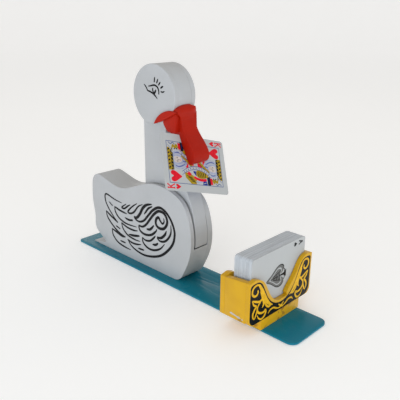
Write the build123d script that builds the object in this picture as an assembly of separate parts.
"""Card-picking duck: a desk toy of painted wood on a thin metal base.

The duck's neck and head hinge on an axle inside the body.  They dip forward
through a slot in the chest until the bill reaches a pack of cards in a holder,
and a torsion spring brings them upright again with one card in the bill.

Frame: millimetres, +Z up, +X from the tail to the card holder, +Y across.
The origin is the middle of the base's underside.
"""
from build123d import *
import math
import os

# ---- driving dimensions ------------------------------------------------------
BASE_LENGTH = 356.0
BASE_WIDTH = 61.0
BASE_THICK = 2.0
TAIL_CORNER_R = 5.0
FRONT_CORNER_R = 9.0

SIDE_THICK = 6.3        # head cheeks
CORE_THICK = 19.0       # neck board
BODY_HALF_WIDTH = 17.5
SLOT_NEAR_Y = -12.2     # the slot is a little wider on the near side of the neck board
SLOT_FAR_Y = 9.9
EDGE_ROUND = 0.7        # sanded edges

AXLE_X = 0.0
AXLE_Z = 22.0
AXLE_R = 2.5
AXLE_BLIND = 3.5        # depth of the axle's blind seat in each side panel
AXLE_PLAY = 0.05        # running clearance on the radius
WASHER_PLAY = 0.15      # along the axle
HUB_R = 10.0

HEAD_X = -34.0
HEAD_Z = 213.5
HEAD_R = 34.0
CHEEK_FLOOR_Z = 183.0   # straight lower edge of the head cheeks
NECK_BACK_X = -58.5
SLOT_REAR_X = -60.0

MOUTH_X = 1.2           # a point on the slit between bill and jaw
MOUTH_Z = 175.8
MOUTH_SLOPE = 28.1      # slit's lean from the vertical, degrees
BILL_LENGTH = 36.3      # from that point down to the bill's tip
BILL_HALF_WIDTH = 12.0
BILL_WAIST = 10.2       # half width just below the lip
SLIT = 0.45             # room for one card between bill and jaw

CARD_LONG = 88.9
CARD_SHORT = 63.5
CARD_THICK = 0.3
CARD_CORNER_R = 3.5
CARD_DOWN = 37.0        # card centre, measured down the slit
CARD_SIDE = -2.7        # card centre, measured across
CARD_SKEW = 17.0        # the picked card hangs a little askew

PACK_BACK_X = 112.0
PACK_THICK = 22.0       # a loose, well used pack
PACK_SIDE = 0.8         # it stands a little off centre
HOLDER_BACK_X = 102.0
HOLDER_FRONT_X = 139.5
HOLDER_HALF_WIDTH = 52.0
HOLDER_WALL = 6.0
HOLDER_BACK_THICK = 6.0
HOLDER_FRONT_THICK = 5.0
HOLDER_BOTTOM_Z = 13.0
HOLDER_FLOOR_THICK = 3.5
HOLDER_SIDE_BOTTOM_Z = 15.8   # the side walls stop short of the front plate's lower edge
HOLDER_REAR_Z = 59.0
HOLDER_FRONT_Z = 61.5
HOLDER_SHOULDER_DROP = 1.5   # from a horn's crest to the plate's outer corner
HOLDER_CORNER_R = 7.0
FOOT_WIDTH = 65.0
SCOOP_Z = 25.0          # lowest point of the scoops in the front and back plates

SCREW_R = 1.5
SCREW_HEAD_R = 2.9
SCREW_LENGTH = 12.0

os.makedirs("parts", exist_ok=True)


# ---- small helpers -----------------------------------------------------------
def side_profile(wire, y_low, y_high):
    """Extrude a closed outline drawn in X (first) and Z (second) across Y."""
    plane = Plane(origin=(0, y_high, 0), x_dir=(1, 0, 0), z_dir=(0, -1, 0))
    face = plane * make_face(wire)
    return extrude(face, amount=y_high - y_low)


def block(x0, x1, y0, y1, z0, z1):
    return Pos((x0 + x1) / 2, (y0 + y1) / 2, (z0 + z1) / 2) * Box(x1 - x0, y1 - y0, z1 - z0)


def cross_pin(x, z, radius, y0, y1):
    """A cylinder along Y."""
    return Pos(x, (y0 + y1) / 2, z) * Rot(90, 0, 0) * Cylinder(radius, y1 - y0)


def upright_pin(x, y, radius, z0, z1):
    return Pos(x, y, (z0 + z1) / 2) * Cylinder(radius, z1 - z0)


def rounded(solid, edges, radius):
    """Round the edges if the kernel can, and say so if it can't."""
    try:
        return solid.fillet(radius, edges)
    except Exception as problem:
        print("left sharp:", type(problem).__name__)
        return solid


def face_edges(solid, y):
    """Edges lying in the flat face at the given Y."""
    return solid.edges().filter_by_position(Axis.Y, y - 0.01, y + 0.01)


def down_slit(distance, behind=0.0):
    """X and Z of a point down the slit, and behind it towards the neck."""
    lean = math.radians(MOUTH_SLOPE)
    along_x, along_z = math.sin(lean), -math.cos(lean)
    x = MOUTH_X + distance * along_x - behind * math.cos(lean)
    z = MOUTH_Z + distance * along_z - behind * math.sin(lean)
    return x, z


def around_axle(radius, angle):
    turn = math.radians(angle)
    return AXLE_X + radius * math.cos(turn), AXLE_Z + radius * math.sin(turn)


# ---- base --------------------------------------------------------------------
BODY_SCREWS_X = [-118.0, -85.0, -30.0, -8.0]
HOLDER_SCREWS_Y = [-16.0, 16.0]
HOLDER_SCREW_X = 121.0
SCREW_PLACES = [(x, 0.0) for x in BODY_SCREWS_X] + [(HOLDER_SCREW_X, y) for y in HOLDER_SCREWS_Y]


def base_plate():
    plate = block(-BASE_LENGTH / 2, BASE_LENGTH / 2, -BASE_WIDTH / 2, BASE_WIDTH / 2, 0, BASE_THICK)
    corners = plate.edges().filter_by(Axis.Z).sort_by(Axis.X)
    plate = plate.fillet(TAIL_CORNER_R, corners[0:2])
    corners = plate.edges().filter_by(Axis.Z).sort_by(Axis.X)
    plate = plate.fillet(FRONT_CORNER_R, corners[-2:])
    for x, y in SCREW_PLACES:
        plate -= upright_pin(x, y, SCREW_R, -1, BASE_THICK + 1)
        plate -= Pos(x, y, BASE_THICK / 2 - 0.1) * Cone(SCREW_HEAD_R, SCREW_R, BASE_THICK - 0.2)
    return plate


def wood_screw(x, y):
    """Countersunk screw, its flat head just inside the base's underside."""
    head_top = BASE_THICK - 0.2
    shank = upright_pin(x, y, SCREW_R, head_top, SCREW_LENGTH)
    head = Pos(x, y, head_top / 2 + 0.05) * Cone(SCREW_HEAD_R - 0.15, SCREW_R, head_top - 0.1)
    driver = block(x - 2.2, x + 2.2, y - 0.3, y + 0.3, 0, 0.9)
    return head + shank - driver


def screw_holes(solid, places):
    for x, y in places:
        solid -= upright_pin(x, y, SCREW_R, 0, SCREW_LENGTH)
    return solid


# ---- body --------------------------------------------------------------------
def body_outline():
    """Duck's body from the side: flat bottom, full chest, dished back, raised tail."""
    front = (-2, BASE_THICK)
    rear = (-122, BASE_THICK)
    shape = [front, (14.5, 14.5), (24.2, 37), (26.8, 57), (23.8, 78), (12, 100), (-8, 109.5),
             (-28, 112), (-46, 109.5), (-64, 103), (-82, 96), (-101, 92.6), (-118, 95.2),
             (-134, 99.3), (-147, 100.2), (-154.5, 94), (-157.3, 82), (-157.6, 60), (-154.3, 38),
             (-148.5, 19), (-138, 6.5), rear]
    top = Spline(*shape, tangents=[(1, 0), (1, 0)])
    return top + Line(rear, front)


def body_panel(side):
    """One side panel: side is -1 for the near one, +1 for the far one."""
    inner = SLOT_NEAR_Y if side < 0 else SLOT_FAR_Y
    low, high = sorted((inner, side * BODY_HALF_WIDTH))
    panel = side_profile(body_outline(), low, high)
    seat = sorted((inner - side, inner + side * AXLE_BLIND))
    return panel - cross_pin(AXLE_X, AXLE_Z, AXLE_R, *seat)


def between_panels():
    return side_profile(body_outline(), SLOT_NEAR_Y, SLOT_FAR_Y)


CHEST_R = 35.4          # top of the chest block, an arc about the axle
CHEST_TOP_ANGLE = 43.5  # its upper front corner
HUB_CLEAR_R = 11.0
BELLY_TOP_Z = 9.0
BELLY_FRONT_X = -14.0


def tail_block():
    """Fills the body behind the slot."""
    blank = between_panels() & block(-200, SLOT_REAR_X, -20, 20, 0, 150)
    return screw_holes(blank, [(x, 0) for x in BODY_SCREWS_X[:2]])


def belly_block():
    """Floor of the slot, under the swinging neck board."""
    blank = between_panels() & block(SLOT_REAR_X, BELLY_FRONT_X, -20, 20, 0, BELLY_TOP_Z)
    return screw_holes(blank, [(BODY_SCREWS_X[2], 0)])


def chest_block():
    """Closes the chest below the slot, shaped round the neck board's hub."""
    blank = between_panels() & block(BELLY_FRONT_X, 60, -20, 20, 0, 60)
    blank &= cross_pin(AXLE_X, AXLE_Z, CHEST_R, -20, 20)
    blank -= cross_pin(AXLE_X, AXLE_Z, HUB_CLEAR_R, -20, 20)
    corner = around_axle(60, CHEST_TOP_ANGLE)
    above = Polyline((AXLE_X, AXLE_Z), corner, (AXLE_X, 120), (-80, 120), (-80, BELLY_TOP_Z),
                     (AXLE_X, BELLY_TOP_Z), (AXLE_X, AXLE_Z))
    blank -= side_profile(above, -20, 20)
    return screw_holes(blank, [(BODY_SCREWS_X[3], 0)])


def rest_stop():
    """Rubber strip on the tail block that the upright neck leans on."""
    return block(SLOT_REAR_X, NECK_BACK_X - 0.3, -7, 7, 82, 96)


def neck_axle():
    return cross_pin(AXLE_X, AXLE_Z, AXLE_R, SLOT_NEAR_Y - AXLE_BLIND, SLOT_FAR_Y + AXLE_BLIND)


def axle_washers():
    """A thick and a thin washer keep the neck board in its place across the slot."""
    washers = []
    for side, wall_y in ((-1, SLOT_NEAR_Y), (1, SLOT_FAR_Y)):
        gap = sorted((side * (CORE_THICK / 2 + WASHER_PLAY), wall_y))
        ring = cross_pin(AXLE_X, AXLE_Z, 7.0, *gap) - cross_pin(AXLE_X, AXLE_Z, AXLE_R, *gap)
        washers.append(ring)
    return Compound(children=washers)


# ---- torsion spring that returns the neck -------------------------------------
SPRING_R = 4.6
SPRING_WIRE_R = 0.5
SPRING_TURNS = 3
SPRING_POCKET_R = 6.0
SPRING_DEPTH = 5.0


def neck_spring():
    """Coil round the axle, in a pocket of the neck board on the near side."""
    start_y = -(CORE_THICK / 2 - SPRING_WIRE_R - 0.4)
    pitch = 2.3 * SPRING_WIRE_R
    coil_path = Helix(pitch=pitch, height=pitch * SPRING_TURNS, radius=SPRING_R)
    place = Pos(AXLE_X, start_y, AXLE_Z) * Rot(-90, 0, 0)
    path = place * coil_path
    section = Plane(origin=path @ 0, z_dir=path % 0) * Circle(SPRING_WIRE_R)
    return sweep(section, path=path)


# ---- neck and head -------------------------------------------------------------
BREAST_R = 35.7         # lower edge of the breast, an arc about the axle
BREAST_ANGLE = 44.5     # its front end
STEM_ANGLE = 99.0       # front of the stem that joins the breast to the hub


def neck_outline():
    """Neck and breast from the side: throat, breast arc, stem to the hub, straight back."""
    breast_tip = around_axle(BREAST_R, BREAST_ANGLE)
    stem_top = around_axle(BREAST_R, STEM_ANGLE)
    stem_foot = around_axle(HUB_R - 2, STEM_ANGLE)
    throat = [(-17.5, 192), (-21.5, 180), (-19.8, 166), (-13, 148), (-1, 128), (10.5, 113.5),
              (19, 96), (23.8, 78), (26.5, 60), breast_tip]
    front = Spline(*throat)
    hub_arc = ThreePointArc(breast_tip, around_axle(BREAST_R, (BREAST_ANGLE + STEM_ANGLE) / 2), stem_top)
    stem = Line(stem_top, stem_foot)
    under_hub = (AXLE_X, AXLE_Z - HUB_R + 0.1)
    bottom = Line(stem_foot, under_hub) + Spline(under_hub, (-36, 33), (NECK_BACK_X, 80),
                                                 tangents=[(-1, 0), (0, 1)])
    back = Polyline((NECK_BACK_X, 80), (NECK_BACK_X, 196), throat[0])
    return front + hub_arc + stem + bottom + back


def neck_board():
    """Centre board of neck and head, with the breast that closes the slot."""
    half = CORE_THICK / 2
    board = side_profile(neck_outline(), -half, half)
    board += cross_pin(HEAD_X, HEAD_Z, HEAD_R, -half, half)
    board += cross_pin(AXLE_X, AXLE_Z, HUB_R, -half, half)
    board -= cross_pin(AXLE_X, AXLE_Z, AXLE_R + AXLE_PLAY, -20, 20)
    pocket_floor = -(half - SPRING_DEPTH)
    return board - cross_pin(AXLE_X, AXLE_Z, SPRING_POCKET_R, -20, pocket_floor)


def head_cheek(side):
    inner = CORE_THICK / 2
    outer = inner + SIDE_THICK
    low, high = sorted((side * inner, side * outer))
    cheek = cross_pin(HEAD_X, HEAD_Z, HEAD_R, low, high)
    cheek &= block(-100, 60, -40, 40, CHEEK_FLOOR_Z, 300)
    return rounded(cheek, face_edges(cheek, side * outer), EDGE_ROUND)


# ---- bill ----------------------------------------------------------------------
JAW_PIN_BEHIND = 5.2    # hinge pin of the jaw, measured from the slit
JAW_PIN_UP = 12.0       # and up it
JAW_PIN_R = 1.25
EAR_R = 3.6
KNUCKLE_HALF = 6.0
EAR_OUTER = 9.0         # the jaw's flanks hide the ears outside this
LIP_HALF_WIDTH = 15.7
JAW_HALF_WIDTH = 10.0
WEDGE_INNER = 10.4      # side wedges of the bill stand clear of the jaw
WEDGE_OUTER = 16.6
CRESCENT_RISE = 3.2     # thickness of the crescents on the head's sides
CRESCENT_ROUND = 1.2
CRESCENT_FAR_END = -1.5 # the far crescent stops short of the lip
JAW_OPEN = 4.0          # degrees the jaw swings back to let a card in
JAW_GAP = 0.2


def jaw_pin_place():
    return down_slit(-JAW_PIN_UP, JAW_PIN_BEHIND)


def head_cutter(gap):
    return cross_pin(HEAD_X, HEAD_Z, HEAD_R + gap, -40, 40)


def swung_back(solid, angle):
    """The solid as the jaw meets it after opening by that angle."""
    x, z = jaw_pin_place()
    return Pos(x, 0, z) * Rot(0, -angle, 0) * Pos(-x, 0, -z) * solid


def bill_lip():
    """Flange where the bill meets the forehead: wider than the bill, rounded above and in plan."""
    heel = (-8.0, 193.0)
    crown = (-1.8, 206.4)
    foot = (3.2, 193.0)
    side = Spline(crown, (3.2, 203.4), (4.7, 199.6), foot, tangents=[(1, -0.1), (-0.1, -1)])
    lip = side_profile(side + Polyline(foot, heel, crown), -20, 20)

    waist = (BILL_WAIST, 193.0)
    front = [waist, (11.6, 195.2), (LIP_HALF_WIDTH - 0.8, 197.8), (LIP_HALF_WIDTH, 199.8), (12.6, 203.2),
             (7.0, 205.4), (0, 206.0)]
    far_half = Spline(*front, tangents=[(0.1, 1), (-1, 0)])
    near_half = Spline(*[(-y, z) for y, z in reversed(front)], tangents=[(-1, 0), (0.1, -1)])
    closing = Line((-waist[0], waist[1]), waist)
    facing_x = Plane(origin=(-20, 0, 0), x_dir=(0, 1, 0), z_dir=(1, 0, 0))
    lip &= extrude(facing_x * make_face(far_half + near_half + closing), amount=40)

    plan = [(0.0, LIP_HALF_WIDTH), (3.2, 12.6), (4.7, 6.0), (5.0, 0)]
    far_plan = Spline(*plan, tangents=[(1, -0.6), (0, -1)])
    near_plan = Spline(*[(x, -y) for x, y in reversed(plan)], tangents=[(0, -1), (-1, -0.6)])
    rear_plan = Polyline((0, -LIP_HALF_WIDTH), (-20, -LIP_HALF_WIDTH), (-20, LIP_HALF_WIDTH),
                         (0, LIP_HALF_WIDTH))
    return lip & Pos(0, 0, 180) * extrude(make_face(far_plan + near_plan + rear_plan), amount=40)


def waisted_front():
    """The bill seen from the front: narrower below the lip than at the tip."""
    waist = (BILL_WAIST, 196.0)
    edge = [(BILL_HALF_WIDTH, 158.0), (BILL_HALF_WIDTH - 0.5, 170.0), (BILL_WAIST + 0.3, 184.0), waist]
    far_edge = Spline(*edge)
    near_edge = Spline(*[(-y, z) for y, z in reversed(edge)])
    tip = Polyline((-BILL_HALF_WIDTH, 158.0), (-BILL_HALF_WIDTH, 130.0), (BILL_HALF_WIDTH, 130.0), edge[0])
    facing_x = Plane(origin=(-30, 0, 0), x_dir=(0, 1, 0), z_dir=(1, 0, 0))
    across = Line(waist, (-waist[0], waist[1]))
    return extrude(facing_x * make_face(far_edge + across + near_edge + tip), amount=80)


def bill_upper():
    """Upper bill with its lip, and two ears that carry the jaw's pin."""
    tip_under = down_slit(BILL_LENGTH)
    root_under = down_slit(-22)
    brow = (2.6, 195.0)
    top = Spline(brow, (9.8, 177.0), (23.6, 158.5), tangents=[(0.3, -1), (0.55, -1)])
    nose = Spline((23.6, 158.5), (25.4, 151.5), tip_under, tangents=[(0.5, -1), (-1, -0.35)])
    outline = Line(root_under, brow) + top + nose + Line(tip_under, root_under)
    bill = (side_profile(outline, -BILL_HALF_WIDTH, BILL_HALF_WIDTH) & waisted_front()) + bill_lip()
    bill -= head_cutter(0)
    x, z = jaw_pin_place()
    for side in (-1, 1):
        ear_y = sorted((side * (KNUCKLE_HALF + 0.15), side * EAR_OUTER))
        bill += cross_pin(x, z, EAR_R, *ear_y) + ear_bridge(JAW_PIN_BEHIND + 0.4, 2 * EAR_R, *ear_y)
    return bill - cross_pin(x, z, JAW_PIN_R, -20, 20)


def ear_bridge(length, height, y0, y1):
    """Bar across the slit between the jaw's pin and the upper bill."""
    x, z = jaw_pin_place()
    bridge_x, bridge_z = down_slit(-JAW_PIN_UP)
    middle = Pos((x + bridge_x) / 2, (y0 + y1) / 2, (z + bridge_z) / 2)
    return middle * Rot(0, MOUTH_SLOPE, 0) * Box(length, y1 - y0, height)


def jaw_profile():
    """Side view of the jaw: behind the slit, below the head."""
    tip = down_slit(BILL_LENGTH - 16, SLIT)
    root = down_slit(-19, SLIT)
    heel = (-22.6, 182.4)
    chin = (-15.8, 176.5)
    belly = Spline(tip, (-0.5, 162.5), chin, heel, tangents=[(-1, 0.3), (-0.6, 1)])
    return Line(root, tip) + belly + Line(heel, root)


def bill_lower():
    """Lower jaw: a knuckle between the bill's ears and a tongue behind the card."""
    jaw = side_profile(jaw_profile(), -JAW_HALF_WIDTH, JAW_HALF_WIDTH)
    neck_half = CORE_THICK / 2 + JAW_GAP
    neck_room = side_profile(neck_outline(), -neck_half, neck_half)
    jaw -= head_cutter(1.0)
    for angle in (0.0, JAW_OPEN / 2, JAW_OPEN + 1.0):
        jaw -= swung_back(head_cutter(JAW_GAP), angle)
        jaw -= swung_back(neck_room, angle)
    x, z = jaw_pin_place()
    jaw += cross_pin(x, z, EAR_R - 0.1, -KNUCKLE_HALF, KNUCKLE_HALF)
    for side in (-1, 1):
        room_y = sorted((side * KNUCKLE_HALF, side * (EAR_OUTER + 0.15)))
        jaw -= cross_pin(x, z, EAR_R + 0.7, *room_y)
        jaw -= ear_bridge(JAW_PIN_BEHIND + 3, 2 * EAR_R + 1.6, *room_y)
    return jaw - cross_pin(x, z, JAW_PIN_R + AXLE_PLAY, -EAR_OUTER, EAR_OUTER)


def jaw_pin():
    x, z = jaw_pin_place()
    return cross_pin(x, z, JAW_PIN_R, -EAR_OUTER, EAR_OUTER)


def crescent(y_low, y_high):
    tip = (-31.6, 182.8)
    nose = (4.6, 199.4)
    upper = ThreePointArc(tip, (-13.0, 198.8), nose)
    lower = ThreePointArc(nose, (-9.5, 191.5), tip)
    return side_profile(upper + lower, y_low, y_high)


def bill_cheek(side):
    """Crescent on the head's side that frames the root of the bill."""
    inner = CORE_THICK / 2 + SIDE_THICK
    outer = inner + CRESCENT_RISE
    low, high = sorted((side * inner, side * outer))
    cheek = crescent(low, high)
    if side > 0:
        cheek &= block(-60, CRESCENT_FAR_END, low, high, 150, 230)
    return rounded(cheek, face_edges(cheek, side * outer), CRESCENT_ROUND)


def bill_wedge(side):
    """Wedge below the crescent: fills the corner between the head's side and the bill."""
    low, high = sorted((side * WEDGE_INNER, side * WEDGE_OUTER))
    rear = (-18.1, 187.2)
    chin = (-10.0, 177.0)
    front_low = (1.6, 177.6)
    front_top = (0.9, 197.0)
    under = Spline(rear, (-15.0, 181.4), chin, tangents=[(0.3, -1), (0.9, -0.5)])
    wedge = side_profile(under + Polyline(chin, front_low, front_top, rear), low, high)
    head_side = CORE_THICK / 2 + SIDE_THICK
    wedge -= cross_pin(HEAD_X, HEAD_Z, HEAD_R, -head_side, head_side)
    return wedge - crescent(-20, 20) - bill_upper()


# ---- cards ---------------------------------------------------------------------
def card_blank(thickness, width=CARD_LONG, height=CARD_SHORT):
    """A card lying flat, its long side along Y and its short side along X."""
    card = Box(height, width, thickness)
    return card.fillet(CARD_CORNER_R, card.edges().filter_by(Axis.Z))


def picked_card():
    x, z = down_slit(CARD_DOWN, SLIT / 2)
    upright = Rot(0, 90, 0) * Rot(0, 0, -CARD_SKEW) * card_blank(CARD_THICK)
    return Pos(x, CARD_SIDE, z) * Rot(0, -MOUTH_SLOPE, 0) * upright


def card_pack():
    floor_z = HOLDER_BOTTOM_Z + HOLDER_FLOOR_THICK
    thick = PACK_THICK - CARD_THICK
    pack = Rot(0, 90, 0) * card_blank(thick)
    return Pos(PACK_BACK_X + thick / 2, PACK_SIDE, floor_z + CARD_SHORT / 2) * pack


def front_card():
    floor_z = HOLDER_BOTTOM_Z + HOLDER_FLOOR_THICK
    card = Rot(0, 90, 0) * card_blank(CARD_THICK)
    return Pos(PACK_BACK_X + PACK_THICK - CARD_THICK / 2, PACK_SIDE, floor_z + CARD_SHORT / 2) * card


# ---- card holder -----------------------------------------------------------------
def scoop_outline(rim_z, bottom_z, corner):
    """Front view of a holder plate: two horns with a round scoop between them."""
    half = HOLDER_HALF_WIDTH
    low = HOLDER_BOTTOM_Z
    shoulder_z = rim_z - HOLDER_SHOULDER_DROP
    base = Line((-half + corner, low), (half - corner, low))
    right_corner = RadiusArc((half - corner, low), (half, low + corner), -corner)
    right_side = Line((half, low + corner), (half, shoulder_z))
    slope = [(half, shoulder_z), (half - 9.5, rim_z), (half - 16.5, rim_z - 2.5), (22.5, rim_z - 18.5),
             (9.5, bottom_z + 2.4), (0, bottom_z)]
    right_scoop = Spline(*slope, tangents=[(-1, 0.2), (-1, 0)])
    mirrored = [(-y, z) for y, z in reversed(slope)]
    left_scoop = Spline(*mirrored, tangents=[(-1, 0), (-1, -0.2)])
    left_side = Line((-half, shoulder_z), (-half, low + corner))
    left_corner = RadiusArc((-half, low + corner), (-half + corner, low), -corner)
    return base + right_corner + right_side + right_scoop + left_scoop + left_side + left_corner


def holder_plate(x0, x1, rim_z, corner):
    outline = scoop_outline(rim_z, SCOOP_Z, corner)
    plane = Plane(origin=(x0, 0, 0), x_dir=(0, 1, 0), z_dir=(1, 0, 0))
    return extrude(plane * make_face(outline), amount=x1 - x0)


def holder_front():
    return holder_plate(HOLDER_FRONT_X - HOLDER_FRONT_THICK, HOLDER_FRONT_X, HOLDER_FRONT_Z, HOLDER_CORNER_R)


def holder_back():
    """Rear plate, as wide as the holder, stepped below to end level with the side walls."""
    inner = HOLDER_HALF_WIDTH - HOLDER_WALL
    x0 = HOLDER_BACK_X
    x1 = HOLDER_BACK_X + HOLDER_BACK_THICK
    plate = holder_plate(x0, x1, HOLDER_REAR_Z, 1.0)
    for side in (-1, 1):
        low, high = sorted((side * inner, side * 60))
        plate -= block(x0 - 1, x1 + 1, low, high, 0, HOLDER_SIDE_BOTTOM_Z)
    return plate


def holder_side(side):
    """Side wall between the rear and the front plate."""
    inner = HOLDER_HALF_WIDTH - HOLDER_WALL
    low, high = sorted((side * inner, side * HOLDER_HALF_WIDTH))
    x0 = HOLDER_BACK_X + HOLDER_BACK_THICK
    x1 = HOLDER_FRONT_X - HOLDER_FRONT_THICK
    z0 = HOLDER_SIDE_BOTTOM_Z
    front_top = HOLDER_FRONT_Z - HOLDER_SHOULDER_DROP
    rear_top = HOLDER_REAR_Z - HOLDER_SHOULDER_DROP
    outline = Polyline((x0, z0), (x1, z0), (x1, front_top), (x0, rear_top), (x0, z0))
    return side_profile(outline, low, high)


def holder_floor():
    inner = HOLDER_HALF_WIDTH - HOLDER_WALL
    x0 = HOLDER_BACK_X + HOLDER_BACK_THICK
    x1 = HOLDER_FRONT_X - HOLDER_FRONT_THICK
    return block(x0, x1, -inner, inner, HOLDER_BOTTOM_Z, HOLDER_BOTTOM_Z + HOLDER_FLOOR_THICK)


def holder_foot():
    foot = block(HOLDER_BACK_X, HOLDER_FRONT_X, -FOOT_WIDTH / 2, FOOT_WIDTH / 2, BASE_THICK, HOLDER_BOTTOM_Z)
    return screw_holes(foot, [(HOLDER_SCREW_X, y) for y in HOLDER_SCREWS_Y])


# ---- assembly ----------------------------------------------------------------------
PARTS = {
    "base_plate": base_plate(),
    "base_screws": Compound(children=[wood_screw(x, y) for x, y in SCREW_PLACES]),
    "body_panel_near": body_panel(-1),
    "body_panel_far": body_panel(1),
    "tail_block": tail_block(),
    "belly_block": belly_block(),
    "chest_block": chest_block(),
    "rest_stop": rest_stop(),
    "neck_axle": neck_axle(),
    "axle_washers": axle_washers(),
    "neck_spring": neck_spring(),
    "neck_board": neck_board(),
    "head_cheek_near": head_cheek(-1),
    "head_cheek_far": head_cheek(1),
    "bill_upper": bill_upper(),
    "bill_lower": bill_lower(),
    "jaw_pin": jaw_pin(),
    "bill_cheek_near": bill_cheek(-1),
    "bill_cheek_far": bill_cheek(1),
    "bill_wedge_near": bill_wedge(-1),
    "bill_wedge_far": bill_wedge(1),
    "picked_card": picked_card(),
    "card_pack": card_pack(),
    "front_card": front_card(),
    "holder_front": holder_front(),
    "holder_back": holder_back(),
    "holder_side_near": holder_side(-1),
    "holder_side_far": holder_side(1),
    "holder_floor": holder_floor(),
    "holder_foot": holder_foot(),
}

for name, shape in PARTS.items():
    export_step(shape, f"parts/{name}.step")
    print(name, round(shape.volume, 1), "mm3")
